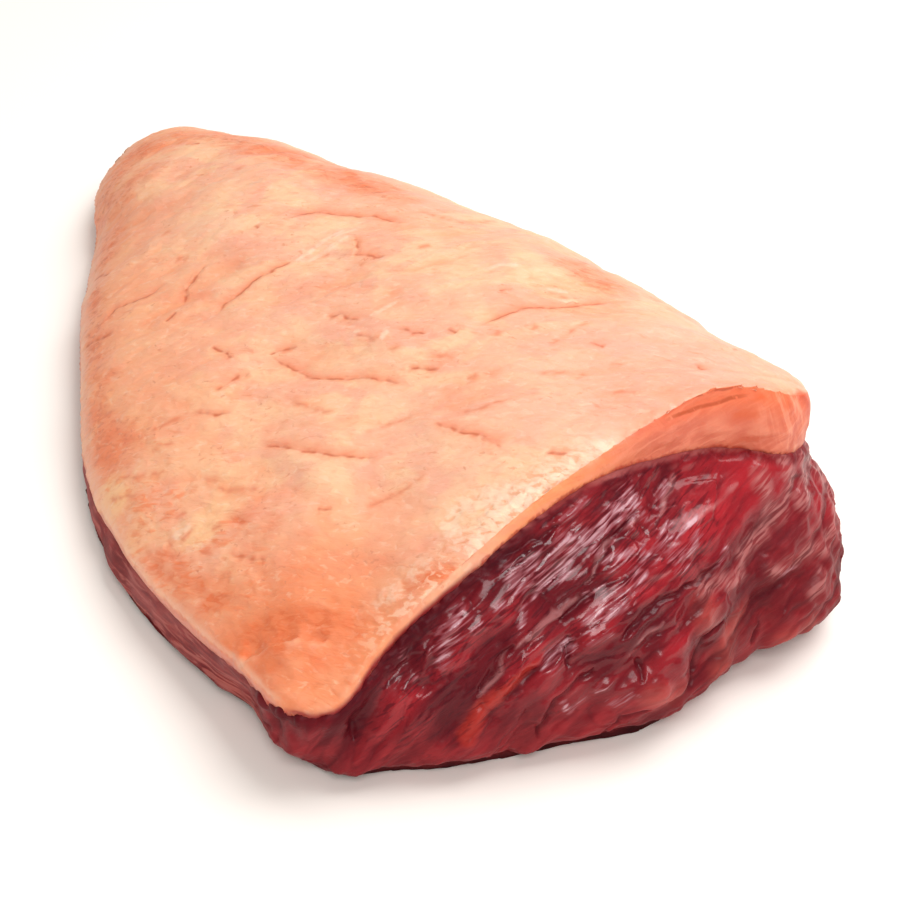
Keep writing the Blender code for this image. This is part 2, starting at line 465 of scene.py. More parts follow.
# Hollows, and the deep lines between bundles: carved in, and painted darker as shade
DIM_PATCHES = [
    [(-29, 16), (-26, 21)], [(-53, 15), (-51, 21)], [(-64, 17), (-59, 19)], [(-6, 39), (0, 39)],
    [(9, 32), (18, 34), (24, 36)], [(-23, 15), (-16, 19)], [(38, 26), (45, 24), (52, 20)],
    [(55, 23), (61, 25), (65, 26)], [(22, 16), (24, 23)], [(-25, 27), (-22, 31)],
    [(4, 27), (9, 29)], [(-33, 33), (-38, 28)], [(-25, 41), (-18, 44)], [(-5, 29), (-2, 27)],
    [(56, 40), (56, 36)], [(-34, 22), (-33, 17)], [(28, 37), (43, 35), (49, 38)],
]
DARK_LINES = [
    [(-27, 40), (-16, 46), (-2, 50)], [(-1, 40), (4, 44), (8, 47), (16, 50)],
    [(-7, 34), (-2, 37), (1, 37)], [(-26, 23), (-22, 27), (-18, 31)],
    [(-22, 20), (-13, 26), (-5, 30)], [(-6, 31), (-7, 25)], [(-14, 9), (-10, 18), (-1, 24)],
    [(23, 15), (25, 22), (31, 24)], [(9, 24), (9, 20)], [(43, 17), (41, 11)],
    [(1, 4), (4, 11), (11, 12)], [(4, 30), (15, 35), (27, 35), (33, 36)], [(-52, 21), (-53, 13)],
    [(22, 19), (22, 12)],
]
LUMPS = [
    [(37, 22), (33, 18), (30, 13)], [(11, 16), (17, 13)], [(26, 31), (26, 27)],
    [(50, 10), (58, 9)],
]
print(len(RED_PATCHES), "proud bundles and", len(DIM_PATCHES + DARK_LINES), "hollows and deep lines")

# %% Thin and wet things on the cut end, as y and z in mm
SILVER_BANDS = [
    [(71, 36), (70, 30), (66, 27), (58, 28), (47, 28)], [(56, 48), (57, 43), (54, 40), (50, 38)],
    [(49, 46), (49, 43), (50, 40), (47, 36), (40, 34)], [(27, 33), (31, 33), (38, 31)],
    [(63, 46), (63, 41), (59, 39)], [(58, 20), (61, 22)], [(68, 42), (70, 37)],
]
PALE_LINES = [
    [(-18, 30), (-12, 33), (-8, 36), (0, 38)], [(-15, 31), (-10, 34), (-6, 36)],
    [(-1, 40), (5, 45), (9, 47), (17, 49)], [(6, 25), (10, 29), (15, 31)],
    [(21, 48), (26, 50), (29, 52)], [(28, 44), (35, 45), (43, 46)],
    [(-27, 21), (-21, 26), (-19, 30)], [(11, 38), (14, 39), (19, 40)],
]
# Where juice lies thick enough to shine, with painted highlights on it
WET_HIGHLIGHT_PATCHES = [
    [(-32, 29), (-30, 33), (-26, 37)], [(-10, 45), (-6, 46), (1, 48)],
    [(3, 47), (6, 49), (9, 50)], [(11, 51), (16, 52)], [(3, 38), (7, 39), (12, 40)],
    [(-1, 33), (2, 34), (6, 36)], [(-15, 40), (-12, 40)], [(-9, 41), (-3, 43)],
    [(20, 41), (27, 42)], [(-11, 26), (-6, 29)], [(-14, 43), (-11, 44)],
]
WET_HIGHLIGHT_STREAKS = [
    [(-25, 34), (-23, 35)], [(-19, 37), (-18, 38)], [(-15, 35), (-13, 39)],
    [(-11, 39), (-10, 40)], [(5, 45), (9, 46), (13, 47)], [(5, 43), (10, 44)],
    [(7, 43), (14, 44)], [(13, 42), (18, 43)], [(19, 44), (23, 45), (29, 45)],
    [(20, 45), (23, 46)], [(20, 39), (23, 39)], [(32, 36), (35, 38)], [(-8, 17), (-7, 14)],
    [(-6, 15), (-4, 17)], [(2, 15), (7, 17)], [(-2, 51), (5, 53)], [(-9, 50), (-4, 52)],
    [(-2, 30), (2, 31)], [(13, 49), (17, 49)], [(-1, 45), (4, 46)], [(-6, 43), (-2, 45)],
    [(15, 46), (19, 47)], [(-41, 23), (-38, 25)], [(-40, 30), (-38, 32)], [(-1, 19), (2, 21)],
    [(22, 50), (26, 51)], [(49, 27), (55, 26)], [(0, 37), (3, 38)],
]
print(len(SILVER_BANDS), "bands of silver skin,", len(WET_HIGHLIGHT_PATCHES + WET_HIGHLIGHT_STREAKS), "wet places")

# %% Where each point of the muscle is, before any carving
places = points_of(flesh)
facing = normals_of(flesh)
by_fat = distance_to("fat_cap", places)
cut = rise(places[:, 0], CUT_FROM - 8, CUT_FROM + 6) * fall(np.abs(facing[:, 2]), 0.8, 0.97)
low = rise(places[:, 2], 0.3, 3)
hold = low * rise(by_fat, 0.2, 4)  # 0 where the skin has to stay on the solid
print(int((cut > 0.5).sum()), "of", len(places), "points are on the cut end")

# %% Bend the grain, as the bundles sag towards the thin side
SAG = 0.0046  # mm of sag for each square mm beyond y = 10
drift = wander(places, 38, (1, 2, 3))
drift += 0.2 * wander(places, 8, (4, 5, 6))
bent = places + 5 * drift
bent[:, 2] += SAG * np.minimum(places[:, 1] - 10, 0) ** 2
end_on = (places + 1.0 * drift)[:, 1:]
ragged = end_on + 0.9 * wander(places, 4, (7, 8))
print("grain bent by up to", np.abs(bent - places).max().round(1), "mm")


# %% Bundles, strands and fibres, and the blunt ends that the knife left
def folded(values, sharp=0.02):
    return np.sqrt(values * values + sharp)


bundle = folded(noise(in_fibre(bent, 70, 12, 26), 11))
strand = folded(noise(in_fibre(bent, 36, 4.2, 9), 12), 0.01)
fibre = folded(noise(in_fibre(bent, 18, 1.5, 4), 13), 0.003)
wrinkle = noise(in_fibre(bent, 3.0, 2.2, 3), 14)
border, lot, lean = cobbles(in_fibre(bent, 24, 6, 10), 15)
small_border, small_lot, small_lean = cobbles(in_fibre(bent, 11, 2.1, 4), 16)
knobs = 0.9 * noise(bent / (7, 5, 8), 19) + 0.45 * noise(bent / 3.2, 20)
print("bundles from", bundle.min().round(2), "to", bundle.max().round(2))


# %% How strongly each kind of stroke is felt at each point
def strokes(paths, width, kind=drawn_line):
    return limit(sum(kind(ragged, path, width) for path in paths))


from_sinew, along_sinew = follow(end_on, SINEW)
sinew = rise(-from_sinew, 3 * along_sinew - 4.2, 0) * fall(along_sinew, 0.75, 1)
smooth = soft_spot(end_on, SMOOTH_BUNDLE, 13)
red_patch = strokes(RED_PATCHES, 8, soft_spot)
dim_patch = strokes(DIM_PATCHES, 8, soft_spot) * (1 - 0.5 * rise(end_on[:, 0], 45, 60))
dark_line = strokes(DARK_LINES, 1.3)
lump = strokes(LUMPS, 5, soft_spot)
silver = strokes(SILVER_BANDS, 3.2, soft_spot)
pale_line = strokes(PALE_LINES, 0.8) * rise(noise(places / 5, 18), -0.6, 0.1)
# Painted highlights: where juice lies, the cut gets pale mauve highlights as well as a thicker coat
juice = 0.85 * strokes(WET_HIGHLIGHT_STREAKS, 1.9, soft_spot)
juice = np.maximum(strokes(WET_HIGHLIGHT_PATCHES, 3.4, soft_spot), juice)
juice = juice * (0.75 + 0.25 * rise(small_lot[:, 0], 0.2, 0.6))
busy = fall(follow(end_on, BUSY)[0], 6, 26)
print("juice on", int((cut * juice > 0.5).sum()), "points")

# %% Carve the cut end, and let the flanks be quiet
lobes = 2.4 * (bundle - 0.3) + (0.6 + 0.5 * busy) * (strand - 0.3)
blocks = 0.5 * (lot[:, 0] - 0.5)
blocks = blocks + 1.2 * lean[:, 1] * (lot[:, 1] - 0.5) + 0.8 * lean[:, 0] * (lot[:, 2] - 0.5)
chips = 0.2 * (small_lot[:, 0] - 0.5) + 0.4 * small_lean[:, 1] * (small_lot[:, 1] - 0.5)
chips += 0.45 * small_lean[:, 0] * (small_lot[:, 2] - 0.5) - 0.1 * rise(-small_border, -0.16, 0)
small_relief = chips + 0.2 * (fibre - 0.3) + 0.12 * wrinkle
carving = lobes + (0.6 + 0.4 * busy) * blocks + (0.35 + 0.65 * busy) * small_relief
carving = carving + (1 - 0.6 * busy) * knobs
carving = (1 - 0.75 * smooth) * carving + 1.2 * smooth
marks = 0.8 * sinew + 0.5 * red_patch - 1.0 * dim_patch - 0.9 * dark_line + 1.0 * lump
carving += marks + 0.4 * silver
carving += 0.15 * pale_line + 0.25 * juice
streak = np.stack([(bent[:, 0] + bent[:, 2]) / 11, bent[:, 1] / 9, bent[:, 2] / 4.5], 1)
streak = noise(streak, 21)
quiet = 0.8 * noise(places / 10, 22) + 0.3 * streak + 0.2 * noise(places / 3.5, 23)
height = hold * (cut * carving + (1 - cut) * quiet)

# %% Meet the fat with a flush, ragged edge, and tuck the foot in
flush = low * fall(by_fat, 1, 6) * (1 + 0.7 * cut * noise(bent / 2.8, 25))
tuck = 3.2 * fall(places[:, 2], 0, 6) * fall(np.abs(facing[:, 2]), 0.6, 0.97)
carved = places + facing * (height + flush)[:, None]
carved[:, :2] -= tuck[:, None] * facing[:, :2]
move_points(flesh, carved)
print("muscle carved from", height.min().round(2), "to", height.max().round(2), "mm")

# %% What the finish needs to know about each point of the muscle
# Painted shade: valleys between bundles, grooves, the lows of the knobs, dark lines and hollows
deep = cut * (
    0.55 * fall(bundle, 0.14, 0.26)
    + 0.3 * fall(strand, 0.1, 0.2)
    + 0.25 * fall(border, 0, 0.1)
    + 0.3 * busy * fall(small_border, 0, 0.12)
    + 0.3 * rise(-knobs, 0.3, 1.0)
    + 0.9 * dark_line
    + 0.45 * dim_patch
)
tone = 0.5 + 0.6 * noise(in_fibre(bent, 40, 12, 20), 31) + 0.25 * (lot[:, 2] - 0.5)
tone += 0.3 * noise(in_fibre(bent, 12, 4, 8), 33) + 0.15 * (small_lot[:, 1] - 0.5)
# Painted light and shade: proud bundles lighter, hollows darker
tone += 0.3 * smooth + 0.35 * red_patch - 0.3 * dim_patch + 0.2 * fall(by_fat, 2, 6)
veil = rise(noise(in_fibre(bent, 22, 3.2, 8), 32), 0.25, 0.7)
edge_veil = rise(places[:, 1], 46, 66) * rise(places[:, 2], 12, 30)
flank_veil = 0.6 * rise(streak, -0.1, 0.5) * fall(by_fat, 6, 18) + 0.5 * fall(by_fat, 2, 8)
flank_veil *= 1 - cut
matte = fall(places[:, 2], 8, 26) + rise(places[:, 1], 20, 50) * fall(places[:, 2], 25, 42)
paint(
    flesh,
    deep=limit(deep),
    tone=limit(tone),
    silver=limit(silver + 0.4 * veil * edge_veil + flank_veil),
    pale_line=cut * pale_line,
    juice=cut * juice * hold,
    lump=cut * lump,
    busy=cut * busy,
    sinew=sinew,
    # seam: where the muscle meets the fat, darkened as painted shade
    seam=fall(by_fat, 1.5, 3.5),
    cut=cut,
    thin_flank=(1 - cut) * rise(-places[:, 1], 10, 30),
    matte=limit(matte),
    # foot: a band along the floor, painted near black as contact shadow
    foot=rise(-carved[:, 2] + 0.7 * noise(places / 5, 34), -2.6, -0.4),
)

# %% [markdown]
# ## The fat
# The fat is one soft layer, thick over the thick side and thin at the edges. Its top has
# low cushions, and where the carcass bent it keeps short wandering creases that run across
# its length. The knife left a straight side at the cut end, with crumbs along its rim, and
# at the near corner the side is folded down. The clear creases, wrinkles and stains are
# listed paths, and only the faint ones between them are noise. A path on its own
# looks ruled, so the points are pushed about a little before they are measured from it.

# %% Creases on the top of the fat, each from left to right, as x and y in mm
CREASES = [
    [(-8, -30), (-11, -28), (-12, -20), (-13, -6)],
    [(20, -27), (25, -27), (38, -24), (47, -18), (59, -10), (63, -8)], [(20, -27), (24, -21)],
    [(25, -50), (31, -46), (35, -42)], [(-40, -60), (-32, -55), (-31, -52)],
    [(-71, -47), (-63, -44)], [(-38, -53), (-41, -49), (-36, -42), (-36, -35)],
    [(-22, -36), (-27, -33), (-34, -25)], [(-33, -2), (-31, 7), (-23, 12), (-17, 18), (-6, 23)],
    [(-11, 10), (-1, 6), (8, 10)], [(19, -11), (22, -8), (29, -6)], [(34, -9), (42, -7)],
    [(-92, 12), (-82, 14), (-78, 20), (-68, 26), (-54, 29)],
    [(50, -42), (65, -36), (72, -32), (79, -26), (84, -23)], [(85, -41), (88, -38)],
    [(77, -60), (88, -54)], [(41, -1), (49, 3)], [(51, 7), (55, 8)],
    [(56, 13), (56, 24), (60, 31), (63, 47)], [(57, -6), (64, -1)],
    [(82, -11), (91, -8), (98, -5), (105, -4)], [(5, -37), (10, -36), (15, -35)],
    [(23, -43), (23, -33)], [(-20, -38), (-19, -42)], [(-39, -9), (-36, -9)],
    [(-108, -5), (-105, -1)], [(50, 44), (52, 49)], [(47, 24), (48, 27)], [(112, 2), (116, 5)],
    [(79, 31), (84, 32)], [(100, 46), (105, 46)],
]
# Too shallow to have any depth
WRINKLES = [
    [(5, -71), (10, -68)], [(12, -73), (15, -71), (18, -69)],
    [(27, -72), (30, -69), (34, -67), (35, -65)], [(36, -65), (38, -61)],
    [(30, -75), (35, -72), (41, -68)], [(67, -60), (68, -58), (70, -56)],
    [(49, -57), (54, -54), (59, -53), (64, -49), (68, -45)], [(63, -67), (63, -62)],
    [(-4, -66), (1, -65), (3, -63)], [(28, -62), (30, -59), (32, -56)], [(52, -68), (57, -62)],
    [(40, -32), (47, -29), (54, -27), (59, -24)], [(54, -2), (59, 1), (63, 4)],
    [(52, 33), (55, 35), (58, 37)], [(-15, 30), (-6, 31), (0, 35), (0, 41), (-3, 48)],
    [(70, -23), (74, -14), (76, -9)], [(84, 14), (88, 20), (92, 23)],
    [(92, -32), (96, -24), (96, -18)], [(101, 22), (106, 28)], [(84, -6), (90, 4), (92, 12)],
    [(22, -60), (24, -54), (24, -50)], [(76, 22), (72, 30), (72, 36)],
]
# Small red-brown marks
DABS = [
    [(-116, -6), (-113, -3)], [(-106, -5), (-106, -2)], [(-92, 11), (-88, 12)],
    [(-78, 14), (-80, 17)], [(-69, 17), (-62, 15)], [(-113, -27), (-112, -24)],
    [(-102, -25), (-106, -22)], [(-61, 25), (-58, 29)], [(-99, -16), (-100, -13)],
    [(-110, -32), (-107, -29)], [(-96, -38), (-90, -37)], [(-86, -42), (-82, -41)],
    [(-10, -2), (-8, 1)], [(-1, 34), (1, 36)], [(11, 18), (11, 22)], [(63, 14), (62, 16)],
    [(48, -6), (49, -3)], [(38, 51), (36, 53)], [(50, 45), (52, 46), (51, 49)],
    [(71, -64), (75, -61)], [(61, -69), (61, -67)], [(-84, 5), (-82, 7)], [(-75, -2), (-73, 1)],
    [(-62, -28), (-60, -26)], [(-45, -30), (-43, -27)], [(5, 4), (6, 7)], [(24, 16), (25, 18)],
    [(66, 22), (67, 24)], [(90, 30), (92, 32)], [(74, 2), (75, 5)],
]
print(len(CREASES), "creases,", len(WRINKLES), "wrinkles,", len(DABS), "dabs")

# %% The rim above the knife side, and the line that the corner is folded down along
RIM = [
    (130, -56, 19), (128, -39, 32), (126, -20, 49), (123, -9, 55), (121, 1, 59), (120, 12, 62),
    (119, 31, 66), (119, 51, 66), (119, 63, 60),
]
FOLD = [(104, -69), (106, -66), (110, -62), (115, -56), (119, -50)]
FOLD_MIDDLE = np.array([111, -61, 0])
FOLD_WAY = np.array([0.78, -0.62, 0])
CORNER = np.array([118, -60])

# %% Stains and spots on the fat, as x and y in mm
# Where the fat is rubbed thin over the flesh
WORN = [
    [(-105, -36), (-112, -31), (-118, -24), (-124, -17)],
    [(-122, -14), (-120, -6), (-111, 3), (-99, 8)], [(-90, 9), (-80, 12), (-66, 16), (-55, 20)],
    [(-48, 22), (-37, 25), (-24, 28)], [(-60, -52), (-40, -57), (-25, -61)],
    [(-86, -38), (-76, -43)], [(-14, -65), (-3, -68), (8, -70)], [(42, 47), (48, 48), (53, 49)],
    [(-100, -28), (-102, -22)], [(12, -68), (20, -66)],
]
# Pale streaks and cream spots: pale crumbs and scratches, and small glints painted on as highlights
PALE_STREAKS = [
    [(-12, -7), (-14, 0), (-16, 9)], [(-9, -5), (-10, 2), (-11, 8)], [(-14, 4), (-14, 11)],
    [(30, -4), (30, 4)], [(35, 25), (35, 30), (39, 34)], [(51, 34), (55, 38)],
    [(32, -9), (34, -8)], [(42, -6), (40, -3)],
]
CREAM_SPOTS = [
    [(66, -65), (69, -63)], [(61, -66), (62, -64)], [(113, -16), (120, -15)],
    [(113, -11), (121, -8)], [(118, -2), (122, 5)], [(118, 10), (120, 16)],
    [(113, -21), (119, -22)],
]
ORANGE_SPOTS = [
    [(63, -72), (69, -71)], [(76, -71), (80, -69)], [(81, -71), (84, -68)],
    [(82, -65), (82, -62)], [(89, -65), (93, -63)], [(103, -61), (107, -58)],
    [(107, -58), (112, -55)], [(113, -54), (116, -51)], [(112, -63), (113, -60)],
    [(120, -54), (121, -52)], [(111, -66), (116, -65)], [(71, -55), (80, -51)],
    [(121, -32), (126, -27)],
]
BLUSH = np.array([100, 36])  # the middle of a wide pink cloud
print(len(WORN), "worn places,", len(CREAM_SPOTS), "cream and", len(ORANGE_SPOTS), "orange spots")

# %% Noise that follows the fat: across its length, and down towards the cut end
ACROSS_LENGTH = np.array([0.42, 0.905, 0])
DOWN_LENGTH = np.array([0.905, -0.42, 0])


def grain(points, across, down, up, seed):
    """Stretched noise that fans up at the narrow end and sags in the middle."""
    along = points @ ACROSS_LENGTH
    away = points @ DOWN_LENGTH
    tip = rise(-points[:, 0], 10, 60)
    sag = rise(away, 0, 40) * rise(-along, -50, -20) * (1 - tip)
    total = 0
    for tilt, weight in ((-0.12, tip), (-0.05, 1 - tip - sag), (0.6, sag)):
        size = math.hypot(1, tilt)
        run = (along + tilt * away) / size / across
        drop = (away - tilt * along) / size / down
        total = total + np.sqrt(weight) * noise(np.stack([run, drop, points[:, 2] / up], 1), seed)
    return total


# %% Which hand-placed line each point is nearest to
LINES = CREASES + WRINKLES + DABS


def nearest_line(points):
    sway = wander(points, 14, (41, 42, 43))
    sway += 0.8 * wander(points, 4, (44, 45, 46))
    sway += 0.35 * wander(points, 2, (47, 48, 49))
    return side_gap((points + 0.7 * sway)[:, :2], LINES)


# %% Fat skin, with crisp edges and with finer cells where it wrinkles
FAT_CELL = 0.85
fat = skin_over("fat_cap", "fat", FAT_CELL)
from_edge = sharpen(fat, "fat_cap", 50, 1.1 * FAT_CELL)
by_rim = fall(follow(points_of(fat), RIM)[0], 3, 5)
melt(fat, 14, fall(from_edge, 0.7, 1.6) * (1 - 0.9 * by_rim))


def under_fat(points, normals):
    return normals[:, 2] < -0.75


def wrinkled_fat(points, normals):
    gap, _, number = nearest_line(points)
    deep = (np.abs(gap) < 1.5) & (number < len(CREASES))
    return (normals[:, 2] > -0.3) & (deep | (follow(points, RIM)[0] < 3))


thin_out(fat, under_fat, 0.52)
refine(fat, wrinkled_fat, 1)
finish_with(fat, "SMOOTH", factor=0.5, iterations=1)

# %% Where each point of the fat is: on the top, on the knife side, by the rim or by the fold
spots = points_of(fat)
outward = normals_of(fat)
loosened = spots + 1.2 * wander(spots, 3, (64, 65, 66))
by_meat = distance_to("meat", spots)
from_rim, along_rim = follow(spots, RIM)
knife_side = rise(outward[:, 0], 0.4, 0.75) * rise(spots[:, 0], 100, 112)
top = rise(outward[:, 2], -0.2, 0.35) * (1 - knife_side)
near_thin = rise(-spots[:, 1] + 0.15 * spots[:, 0], 48, 78)
rough = limit(near_thin + rise(-spots[:, 0], 90, 130) + rise(noise(spots / 20, 61), 0.1, 0.5))
flap = rise((loosened - FOLD_MIDDLE) @ FOLD_WAY, -0.8, 0.8) * rise(spots[:, 0], 92, 100)
from_fold, along_fold = follow(loosened + 1.4 * noise(spots / 7, 80)[:, None], FOLD)
in_fold = fall(np.abs(along_fold - 0.5), 0.3, 0.5)
by_fold = fall(from_fold, 1, 9) * in_fold
print(int((knife_side > 0.5).sum()), "of", len(spots), "points are on the knife side")

# %% The relief of the creases: a groove, soft shoulders, and a step from one side to the other
gap, power, number = nearest_line(spots)
has_depth = (number < len(CREASES)) * power
lengths = [np.linalg.norm(np.diff(path, axis=0), axis=1).sum() for path in LINES]
long_one = rise(np.array(lengths)[number.astype(int)], 8, 26)
valley = fall(np.abs(gap), 0, 1.1) * has_depth
soft = fall(np.abs(gap), 0.5, 5) * has_depth * (0.4 + 0.6 * long_one)
ledge = -np.tanh(gap / 0.6) * fall(np.abs(gap), 0.2, 4.0) * has_depth * long_one
print("longest crease", round(max(lengths), 1), "mm")

# %% Cushions and ripples, crumbs by the rim, spots, and places worn thin
cushions = 1.0 * grain(spots, 34, 18, 24, 51) + 0.5 * grain(spots, 18, 8, 12, 52)
waves = grain(spots, 12, 4.2, 7, 59)
ripples = grain(spots, 5.5, 2.4, 4, 53)
folds = fall(np.abs(grain(spots, 24, 7, 14, 62)), 0, 0.3)
folds = folds * rise(grain(spots, 22, 14, 20, 63), -0.1, 0.4)
crumbs, crumb_lot, _ = cobbles(loosened / (4.2, 3.4, 3.4), 54)
crumbly = soft_spot(spots, [(114, -18, 50), (118, -8, 55)], 9)
crumbly += 0.5 * soft_spot(spots, [(119, -44), (119, -30)], 5)
crumbly = limit(crumbly) * top * rise(noise(spots / 6, 55), -0.5, 0.1)
# Cream spots and pale streaks, partly painted glints
spotty = limit(sum(soft_spot(spots, path, 2.8) for path in CREAM_SPOTS))
spotty = spotty * rise(ripples, -0.3, 0.25)
spotty = np.maximum(spotty, 0.85 * sum(drawn_line(spots, path, 1.6) for path in PALE_STREAKS))
worn = limit(sum(soft_spot(spots, path, 10) for path in WORN))
orange = limit(sum(soft_spot(spots, path, 6) for path in ORANGE_SPOTS))
orange *= 0.35 + 0.65 * rise(-waves, -0.35, 0.3)
pits = rise(noise(spots / 2.4, 60), 0.4, 0.75) * (0.2 + 0.6 * near_thin)
print("worn thin at", int((worn > 0.5).sum()), "points, orange at", int((orange > 0.5).sum()))

# %% How far the top swells
medium = 0.12 * waves + (0.1 + 0.09 * rough) * ripples - 0.22 * folds
crinkles = noise(loosened / (1.9, 1.9, 3), 69)
medium += (0.07 + 0.06 * rough) * crinkles + 0.15 * noise(loosened / 6, 77)
swell = (0.85 - 0.6 * near_thin) * cushions + medium
swell = swell + 0.1 * ledge - 0.17 * valley - 0.12 * soft - 0.14 * pits
swell += 0.45 * top * fall(from_rim, 0.5, 4) * noise(loosened / 3, 75)
swell += crumbly * (0.5 * (crumb_lot[:, 0] - 0.3) - 0.3 * fall(crumbs, 0, 0.15))
swell += 0.12 * spotty - 0.15 * orange
folded_down = by_fold * (1.8 * flap - 0.9)
swell += folded_down + 0.3 * fall(from_fold, 0, 3) * rise(noise(spots / 5, 81), -0.5, 0.2)
print("top swells from", swell.min().round(2), "to", swell.max().round(2), "mm")

# %% The knife side: ribbed by the blade, with a groove and raw marks near its far end
ribs = 0.4 * noise(spots / (20, 9, 2.8), 57)
ribs += 0.2 * noise(loosened / 3.2, 71) + 0.3 * noise(spots / 6, 72)
grooved = fall(np.abs(spots[:, 1] - 38), 7, 12) * knife_side
raw_marks = soft_spot(spots, [(120, 44, 61), (120, 49, 60)], 2.4)
raw_marks = raw_marks + soft_spot(spots, [(120, 50, 64), (120, 57, 64)], 2)
raw_marks *= knife_side * rise(noise(loosened / 4, 76), -0.5, 0.1)
end_line = soft_spot(spots, [(118, 64, 61), (117, 67, 52), (117, 67, 40)], 3)
sides = 0.35 * noise(spots / 8, 58) + knife_side * ribs
print("sides ribbed by up to", np.abs(sides).max().round(2), "mm")

# %% Press and swell the fat, but hold it still where it lies on the meat
pressed = 0.8 * fall(from_rim, 0, 3.5) * rise(along_rim, 0.2, 0.4)
bulge = rise(by_meat, 0.6, 2.4) * (top * swell + (1 - top) * sides - pressed)
moved = spots + outward * bulge[:, None]
moved[:, 2] += 0.9 * noise(loosened / 3.4, 73) * knife_side * fall(by_meat, 0.3, 2.5)
hem = fall(by_meat, 0.4, 2.2) * rise(-outward[:, 2], -0.1, 0.6)
moved[:, 2] -= 0.7 * hem
move_points(fat, moved)
print("fat moved from", bulge.min().round(2), "to", bulge.max().round(2), "mm")

# %% What the finish needs to know about the edges and the sides of the fat
thin_side = rise(-spots[:, 1], 30, 50) * rise(-spots[:, 0], -126, -118)
slant = -spots[:, 1] - 0.2 * spots[:, 0]
edge = 0.3 * rise(-spots[:, 0], -50, 20) * rise(-spots[:, 1], 20, 45)
edge = edge + 0.75 * rise(slant, 5, 66) + 0.62 * rise(-spots[:, 0], 92, 138)
edge += 0.3 * rise(-spots[:, 0], 25, 75) * rise(slant, 40, 75)
corner = fall(np.linalg.norm(spots[:, :2] - CORNER, axis=1), 12, 46)
rim_crumbs = top * fall(from_rim, 2, 13) * rise(along_rim, 0.02, 0.2)
paint(
    fat,
    edge=limit(edge),
    corner=corner,
    yellow=rise(noise(spots / (16, 16, 40), 68), -0.1, 0.4) * near_thin * (1 - corner),
    rim=top * fall(from_rim, 2, 9) * rise(along_rim, 0.3, 0.38) * fall(along_rim, 0.6, 0.7),
    orange_rim=top * fall(from_rim, 1, 4.5) * rise(along_rim, 0.6, 0.72),
    rim_crumbs=rim_crumbs * fall(along_rim, 0.5, 0.68),
    from_rim=from_rim,
    layer=by_meat,
    lip=thin_side * fall(outward[:, 2], 0.15, 0.4) * fall(by_meat, 7, 9),
    thin_edge=thin_side * fall(np.abs(outward[:, 2] - 0.5), 0.05, 0.22),
    side=rise(knife_side + 0.3 * noise(loosened / 3, 74), 0.25, 0.9) * rise(along_rim, 0.3, 0.42),
    thick_side=rise(along_rim, 0.5, 0.72),
    far_side=knife_side * rise(spots[:, 1], 46, 60),
    ribs=limit(0.5 + 1.2 * ribs),
    grooved=grooved,
    raw_marks=raw_marks,
    end_line=end_line,
    stained=knife_side * fall(along_rim, 0.28, 0.36),
)

# %% And about the marks on its top
# Painted light: a pale band along the lifted edge of the fold. Painted shade: deeper orange in the
# hollow above it
fold_edge = top * fall(from_fold, 0.4, 2.8) * flap * rise(noise(loosened / 4, 82), -0.4, 0.3)
above_fold = 1.2 * fall(from_fold, 2, 12) * (1 - flap)
above_fold = above_fold * (0.6 + 0.4 * rise(noise(loosened / 5, 79), -0.4, 0.3))
dotted = 0.3 + 0.7 * rise(noise(spots / 2.2, 67), -0.3, 0.3)
inked = top * power * dotted * fall(np.abs(gap), 1.6, 2.4)
paint(
    fat,
    gap=np.where(number >= len(CREASES + WRINKLES), 0.6 * gap, gap),
    crease=inked,
    dark_crease=inked * np.where(number < len(CREASES), 1.0, 0.25),
    # halo: a red tint beside each crease, painted stronger on one side as shade
    halo=limit(top * soft * (0.2 + 0.8 * rise(gap, -0.3, 0.3))),
    worn=(1 - knife_side) * worn * (0.6 + 0.4 * rise(noise(loosened / 5, 78), -0.4, 0.4)),
    # Painted shade in the gaps between crumbs
    crumb_edge=top * np.maximum(crumbly, 0.8 * spotty) * fall(crumbs, 0.03, 0.14),
    # Painted shade in the hollows and painted light on the crests of the swell
    low_spot=limit(0.5 - 0.9 * (medium + 0.45 * cushions)),
    blush=top * fall(np.linalg.norm(spots[:, :2] - BLUSH, axis=1), 6, 50),
    rough=limit(near_thin + 0.6 * rise(-spots[:, 0], 90, 130)),
    pits=limit(top * pits),
    # orange: orange spots, and painted shade in the hollow above the fold
    orange=limit(top * (orange + above_fold)),
    # fold_edge: painted light along the lifted edge of the fold
    fold_edge=fold_edge * in_fold,
    # cream: pale crumbs, and glints painted as highlights
    cream=limit(top * (spotty + crumbly * rise(crumbs, 0.03, 0.15))),
)

# %% [markdown]
# ## Writing a finish as sums
# A finish is a web of nodes, and most of them are plain arithmetic. One small class wraps a
# socket, so that sums between sockets and numbers can be written as sums. Another holds the
# web and adds any other node in one call. A finish is then built up as a painter would, one
# colour over another, each as strong as a painted attribute or a noise says.


# %% A socket that can be used in sums
class Wire:
    def __init__(self, web, socket):
        self.web = web
        self.socket = socket

    def maths(self, operation, *values):
        return self.web.out("Math", {"operation": operation}, dict(enumerate(values)))

    def __add__(self, other):
        return self.maths("ADD", self, other)

    def __radd__(self, other):
        return self.maths("ADD", other, self)

    def __sub__(self, other):
        return self.maths("SUBTRACT", self, other)

    def __rsub__(self, other):
        return self.maths("SUBTRACT", other, self)

    def __mul__(self, other):
        return self.maths("MULTIPLY", self, other)

    def __rmul__(self, other):
        return self.maths("MULTIPLY", other, self)

    def __abs__(self):
        return self.maths("ABSOLUTE", self)

    def step(self, low, high):
        values = {"Value": self, "From Min": low, "From Max": high}
        return self.web.out("MapRange", {"interpolation_type": "SMOOTHSTEP"}, values)


